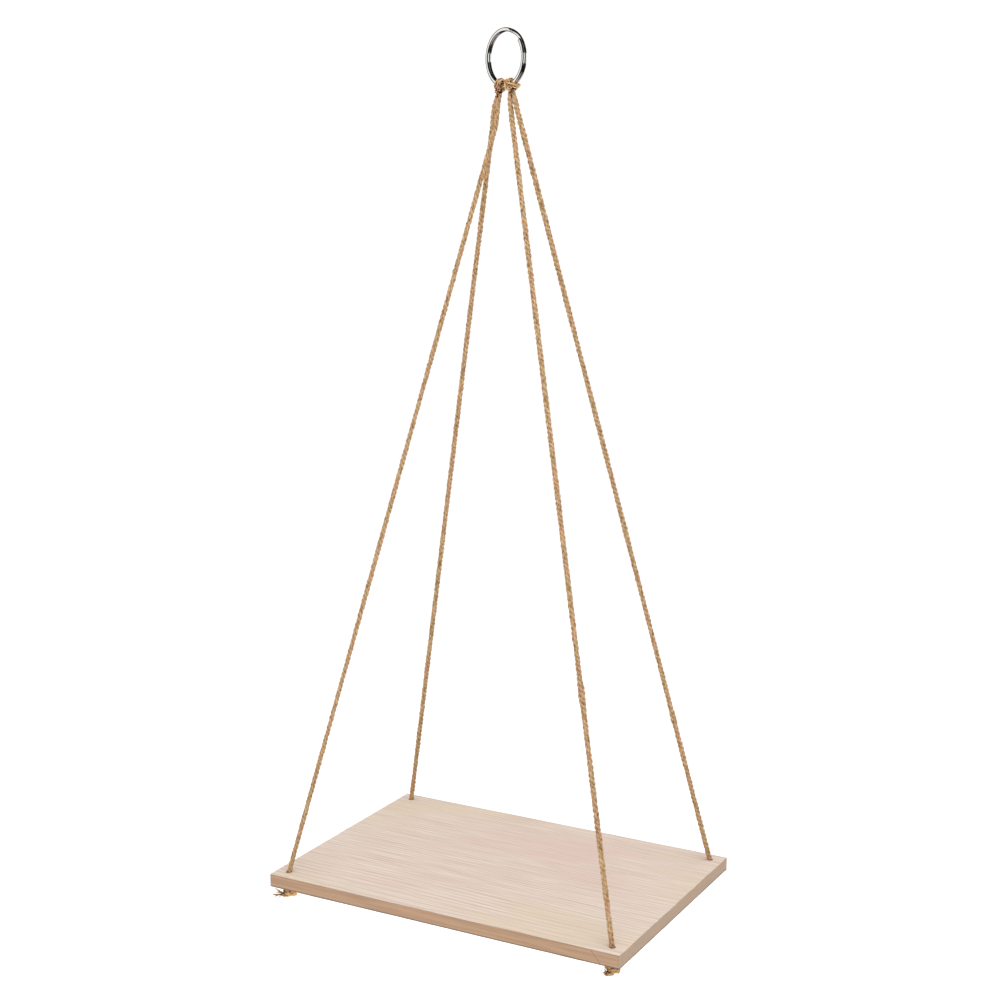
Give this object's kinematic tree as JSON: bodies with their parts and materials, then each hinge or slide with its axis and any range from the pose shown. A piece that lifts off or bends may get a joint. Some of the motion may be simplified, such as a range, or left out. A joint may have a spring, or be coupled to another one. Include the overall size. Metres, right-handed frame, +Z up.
{
  "type": "hanging rope shelf",
  "caption": "Hanging shelf: a plain wooden board held level by cords that rise from its corner holes to a split ring, which hangs on a hook.",
  "frame": {"origin": "the hook's seat: the inside top of the ring, where a hook holds it", "axes": "+X along the board's long edge, to the right as seen from the front; +Y towards the board's back; +Z up"},
  "size_m": [0.35, 0.242, 0.7747],
  "materials": {
    "board_wood": "bare sanded softwood, pale and even, with darker sawn edges",
    "ring_nickel": "polished nickel plate",
    "cord_hemp": "natural twisted hemp, matt and slightly hairy"
  },
  "bodies": {
    "ring": {"split_ring": "ring_nickel"},
    "hitches": {"left_ring_hitch": "cord_hemp", "right_ring_hitch": "cord_hemp"},
    "shelf": {"shelf_board": "board_wood", "front_left_cord": "cord_hemp", "back_left_cord": "cord_hemp", "front_right_cord": "cord_hemp", "back_right_cord": "cord_hemp", "front_left_knot": "cord_hemp", "back_left_knot": "cord_hemp", "front_right_knot": "cord_hemp", "back_right_knot": "cord_hemp", "front_left_frayed_end": "cord_hemp", "back_left_frayed_end": "cord_hemp", "front_right_frayed_end": "cord_hemp", "back_right_frayed_end": "cord_hemp"}
  },
  "joints": [
    {"name": "swing", "type": "hinge", "parent": "ring", "child": "hitches", "pos_m": [0, 0, -0.04407], "axis": [0.9304, -0.3665, 0], "range_deg": [-18, 18]},
    {"name": "twist", "type": "hinge", "parent": "hitches", "child": "shelf", "pos_m": [0, 0, -0.04407], "axis": [0, 0, 1], "range_deg": [-20, 20], "stiffness_Nm_per_rad": 0.012}
  ]
}
